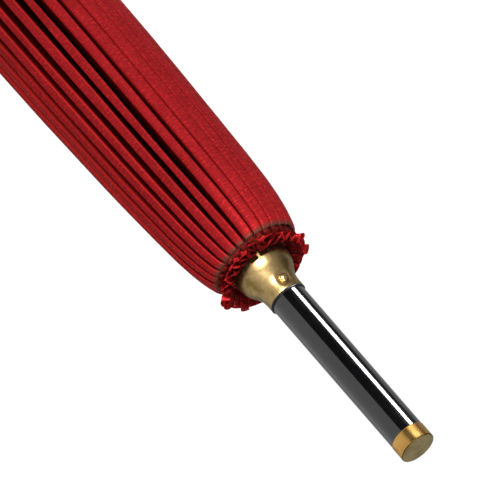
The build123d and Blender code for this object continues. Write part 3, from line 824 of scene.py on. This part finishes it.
def ruffle(profile, amplitude, lean, pleats, points_cut, seed_shift, stand=0.0):
    """A gathered strip: its line from foot to edge, its points, and its painted shade inside the pleats."""
    draw = np.random.default_rng(40 + seed_shift)
    line = smooth_line(profile, 6)
    rows, columns = len(line), pleats * LOOK
    size = draw.uniform(0.65, 1.25, pleats)
    tilt = draw.uniform(0.4, 1.7, pleats)
    reach = draw.uniform(-1, 1, pleats)
    turn = draw.uniform(-0.5, 0.5, pleats)
    flop = draw.uniform(-0.8, 1.0, pleats)
    column = np.arange(columns)
    which = column // LOOK
    phase = 2 * np.pi * (column % LOOK) / LOOK
    loop = 0.5 - 0.5 * np.cos(phase)  # 0 where one pleat meets the next, 1 at its outer fold
    wave = -np.sign(np.cos(phase)) * np.abs(np.cos(phase)) ** 0.8
    pitch = 2 * np.pi / pleats
    points = np.empty((rows, columns, 3))
    pleat_shade = np.empty((rows, columns))
    for row in range(rows):
        share = row / (rows - 1)
        ahead, behind = line[min(row + 1, rows - 1)], line[max(row - 1, 0)]
        tangent = (ahead - behind) / np.linalg.norm(ahead - behind)
        normal = np.array([tangent[1], -tangent[0]])
        grown = FOOT_SIZE + (1 - FOOT_SIZE) * share
        out = amplitude * grown * wave * (1 + (size[which] - 1) * loop)
        out = out + FLOP * flop[which] * loop * share**2
        slide = lean * grown * (1 + (tilt[which] - 1) * loop) * np.sin(2 * phase)
        angle = column / columns * 2 * np.pi + slide * pitch * LEAN_PITCH
        angle = angle + turn[which] * pitch * loop * share
        stood = stand * (0.5 + 0.5 * np.sin(angle)) * share
        length = share * (points_cut * loop + UNEVEN * reach[which] * loop) + stood
        r = line[row][0] + normal[0] * out + tangent[0] * length
        z = line[row][1] + normal[1] * out + tangent[1] * length
        points[row] = np.stack([r * np.cos(angle), r * np.sin(angle), z], axis=1)
        # painted shade, darkest where one pleat meets the next and towards the strip's foot
        pleat_shade[row] = 0.9 * np.clip(1.15 * (1 - loop) + 0.45 * (1 - share) - 0.4, 0, 1)
    return line, points, pleat_shade


print("pleats in the rosette:", PLEATS)


def gathered(name, profile, finish, wear_and_shade=0.0, **shape):
    line, points, pleat_shade = ruffle(profile, **shape)
    piece = grid_object(name, points, finish, wrap=True)
    even = np.zeros(points.shape[:2])
    lay_cloth(piece, points, even + wear_and_shade, even, pleat_shade)
    finish_piece(piece, "frame", "red_cloth")
    return piece


RUFFLE_LINE = [(15.5, -22.6), (16.0, -21.4), (16.7, -20.0), (17.9, -19.0), (18.8, -18.2)]
ruffle_piece = gathered(
    "rosette_ruffle", outline(NECK, RUFFLE_LINE), ROSETTE_CLOTH_SHADED, amplitude=mm(2.1), lean=1.0,
    pleats=PLEATS, points_cut=mm(1.4), seed_shift=1, stand=mm(3.0),
)
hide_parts("rosette")
CROWN_LINE = [(12.0, -21.7), (15.0, -22.0), (18.4, -22.5), (19.3, -24.5), (19.6, -27.0)]
# The whole crown is mixed a quarter of the way to the worn brown: partly wear, partly painted shade for its
# recess between the shoulder and the rosette.
gathered(
    "crown_cloth", outline(NECK, CROWN_LINE), CANOPY_CLOTH, wear_and_shade=0.25, amplitude=mm(0.9),
    lean=0.6, pleats=RIDGES, points_cut=0.0, seed_shift=3,
)

# %% [markdown]
# ## Floor and surroundings
# A plain pale floor and a soft white world. The Standard view transform keeps the red as
# saturated as the cloth is. The floor glows a little, only for the camera, so that it stays
# pale without throwing light up at the umbrella.

# %% Stage


def stage_plane(name, size, location, rotation, finish, camera=True):
    bpy.ops.mesh.primitive_plane_add(size=1, location=location, rotation=rotation)
    plane = bpy.context.object
    plane.name = name
    plane.scale = (size[0], size[1], 1)
    plane.data.materials.append(finish)
    plane.visible_camera = camera
    return plane


bpy.context.scene.view_settings.view_transform = "Standard"
paper, tree, shader = material("pale floor", Roughness=0.9, Emission_Strength=0.68)
floor_noise = node(tree, "ShaderNodeTexNoise", {"Scale": 3.0, "Detail": 2.0})
floor_tone = ramp(tree, floor_noise.outputs["Fac"], [(0.3, 0.70), (0.7, 0.74)])
tree.links.new(floor_tone, shader.inputs["Base Color"])
seen = node(tree, "ShaderNodeLightPath").outputs["Is Camera Ray"]
tree.links.new(mix(tree, seen, (0.0, 0.0, 0.0), (1.0, 1.0, 1.0)), shader.inputs["Emission Color"])
FLOOR_Z = cad_box[0][2] - mm(2)
FLOOR_WIDE = 14
stage_plane("floor", (FLOOR_WIDE, FLOOR_WIDE), (0, 2.0, FLOOR_Z), (0, 0, 0), paper)

world = bpy.data.worlds.new("studio")
bpy.context.scene.world = world
world.use_nodes = True
backdrop = world.node_tree.nodes["Background"]
backdrop.inputs["Color"].default_value = (1, 1, 1, 1)
backdrop.inputs["Strength"].default_value = 0.42
print("floor at", round(FLOOR_Z, 4))

# %% [markdown]
# ## Lights and black cards
# The lacquered rod and the brass mirror what stands around them, so each needs its own lights.
# Light linking lets a lamp reach only chosen pieces: one tall strip draws the rod's bright line,
# another the satin's sheen, a wide fill keeps one side of the rod grey, and the tip and the bell
# have a small lamp each. The key leaves the bell out, because its glare would hide the patina.
# Black cards, seen only in reflections, keep the rest of the rod black.

# %% Lights


def soft_light(name, place, aim, size, power, only=(), without=(), diffuse=True):
    """A rectangular lamp, which may light only some pieces or leave some out."""
    data = bpy.data.lights.new(name, "AREA")
    data.shape = "RECTANGLE"
    data.size, data.size_y = size
    data.energy = power
    lamp = bpy.data.objects.new(name, data)
    bpy.context.scene.collection.objects.link(lamp)
    lamp.location = place
    lamp.rotation_euler = (Vector(aim) - Vector(place)).to_track_quat("-Z", "Y").to_euler()
    lamp.visible_camera = False
    lamp.visible_diffuse = diffuse
    if only or without:
        linked = bpy.data.collections.new(f"pieces of the {name}")
        for piece in (*only, *without):
            linked.objects.link(piece)
        if without:
            for member in linked.collection_objects:
                member.light_linking.link_state = "EXCLUDE"
        lamp.light_linking.receiver_collection = linked


def around(turn_degrees, distance, height):
    """A place around the shaft: 0 is the camera's side, positive turns towards -X."""
    a = math.radians(turn_degrees)
    return (-distance * math.sin(a), -distance * math.cos(a), height)


def axis_at(height):
    return (0, 0, height)


BELL_AIM = axis_at(NECK - mm(20))
MIRRORED = NECK - 0.26  # from above, the upright rod mirrors what stands this low
soft_light("key", around(45, 1.0, NECK + 0.35), BELL_AIM,
           size=(0.25, 0.6), power=4.5, without=(bell, screw))
soft_light("front light", around(-8, 0.8, NECK + 0.95), BELL_AIM, size=(0.22, 0.22), power=9)
soft_light("rod strip", around(68, 0.6, MIRRORED), axis_at(MIRRORED),
           size=(0.2, 0.7), power=16, only=(rod_skin, seal), diffuse=False)
soft_light("satin strip", around(37, 0.6, NECK + 0.1), axis_at(NECK - 0.1),
           size=(0.08, 0.9), power=5, only=(*gores, ruffle_piece), diffuse=False)
soft_light("rod fill", around(-67, 0.5, NECK + 0.05), axis_at(NECK + 0.05),
           size=(1.6, 1.0), power=2.0, only=(rod_skin, tip, tip_face, bell, screw), diffuse=False)
soft_light("tip light", around(50, 0.4, TOP - 0.22), axis_at(TOP - mm(4)),
           size=(0.26, 0.16), power=0.42, only=(tip, tip_face), diffuse=False)
soft_light("bell light", around(10, 0.7, NECK - 0.04), axis_at(NECK - 0.015),
           size=(0.12, 0.10), power=14, only=(bell, screw, ruffle_piece))
print("lights:", len(bpy.data.lights))

# %% Black cards
CARD_AWAY, CARD_TALL = 0.62, 0.7
CARDS = ((22, 0.72, -0.26), (95, 0.19, -0.26), (112, 0.55, 0.38))  # turn, width, above the neck
card_finish, _, _ = material("black card", Roughness=1.0, Base_Color=(0.002, 0.002, 0.002, 1))
for turn, width, above_neck in CARDS:
    place = Vector(around(turn, CARD_AWAY, NECK + above_neck))
    facing = (Vector(axis_at(place.z)) - place).to_track_quat("Z", "Y").to_euler()
    card = stage_plane(f"card_{turn}", (width, CARD_TALL), place, facing, card_finish, camera=False)
    card.visible_diffuse = False
    card.visible_shadow = False
print("cards:", len(CARDS))

# %% [markdown]
# ## Camera
# The camera looks down on the ferrule from 26 degrees above, with a very long lens, so that the
# rod hardly narrows with distance. It is rolled so that the shaft points down to the right.

# %% Camera
ELEVATION = math.radians(26.4)
LENS, SENSOR = 800.0, 36
FRAME_WIDTH = mm(210.5)  # what the camera spans at the shaft
ALONG_RIGHT, ALONG_DOWN = 0.656, 0.755  # the shaft's direction as the camera sees it
distance = FRAME_WIDTH * LENS / SENSOR
back = Vector((0, -math.cos(ELEVATION), math.sin(ELEVATION)))
shaft_up = Vector((0, math.sin(ELEVATION), math.cos(ELEVATION)))
across = Vector((1, 0, 0))
camera_right = shaft_up * ALONG_RIGHT - across * ALONG_DOWN
camera_up = -shaft_up * ALONG_DOWN - across * ALONG_RIGHT
AIM_SIDE, AIM_DOWN = mm(1.3), mm(120.7)  # the middle of the view, from the end of the ferrule
target = Vector((-AIM_SIDE, 0, TOP - AIM_DOWN))
camera_data = bpy.data.cameras.new("camera")
camera_data.lens = LENS
camera_data.sensor_width = SENSOR
camera_data.clip_start = 0.5
camera_data.clip_end = 60
camera = bpy.data.objects.new("camera", camera_data)
bpy.context.scene.collection.objects.link(camera)
roll = Matrix((camera_right, camera_up, back)).transposed().to_4x4()
camera.matrix_world = Matrix.Translation(target + back * distance) @ roll
bpy.context.scene.camera = camera
print("camera", round(distance, 3), "m away")

# %% End
print("scene built")
